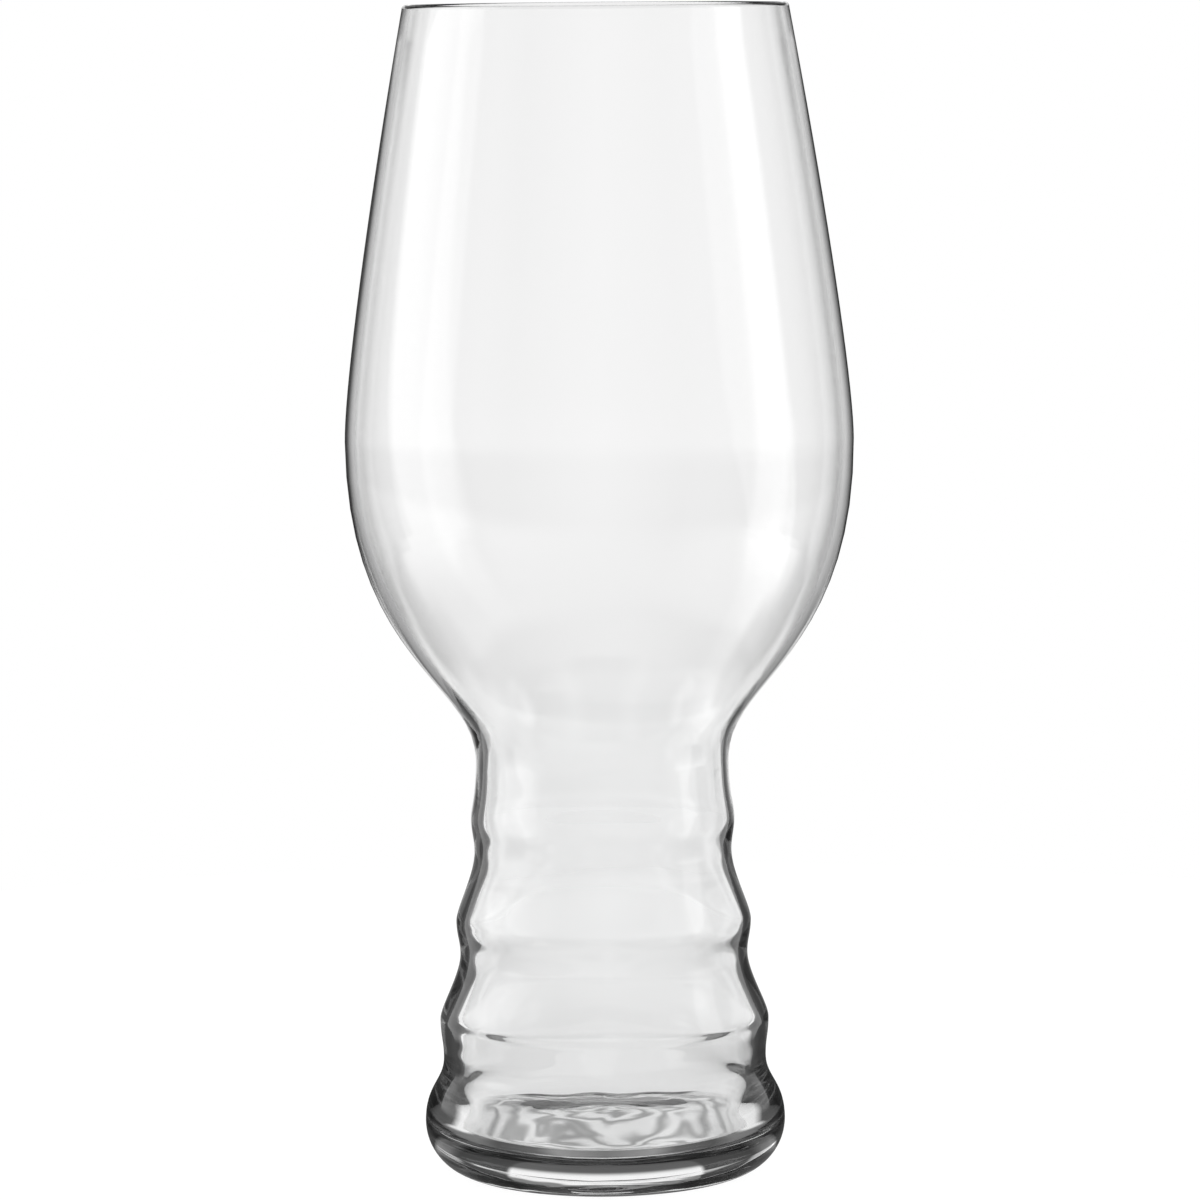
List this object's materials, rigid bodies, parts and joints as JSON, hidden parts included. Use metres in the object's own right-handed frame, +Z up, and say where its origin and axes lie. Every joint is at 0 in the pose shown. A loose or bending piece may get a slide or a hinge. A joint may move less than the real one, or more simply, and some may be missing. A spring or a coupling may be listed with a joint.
{
  "type": "beer glass",
  "caption": "Tall clear beer glass with a tapered bowl, a hollow stem of rounded rings and a heavy round foot with a shallow hollow underneath.",
  "frame": {"origin": "on the axis of the glass, in the plane of the resting ring", "axes": "+Z up along the axis to the mouth; the glass is round, so X and Y have no front"},
  "size_m": [0.0824, 0.0824, 0.19],
  "materials": {
    "clear_glass": "clear polished soda-lime glass, fire-polished lip"
  },
  "bodies": {
    "root": {"glass_body": "clear_glass"}
  },
  "joints": []
}
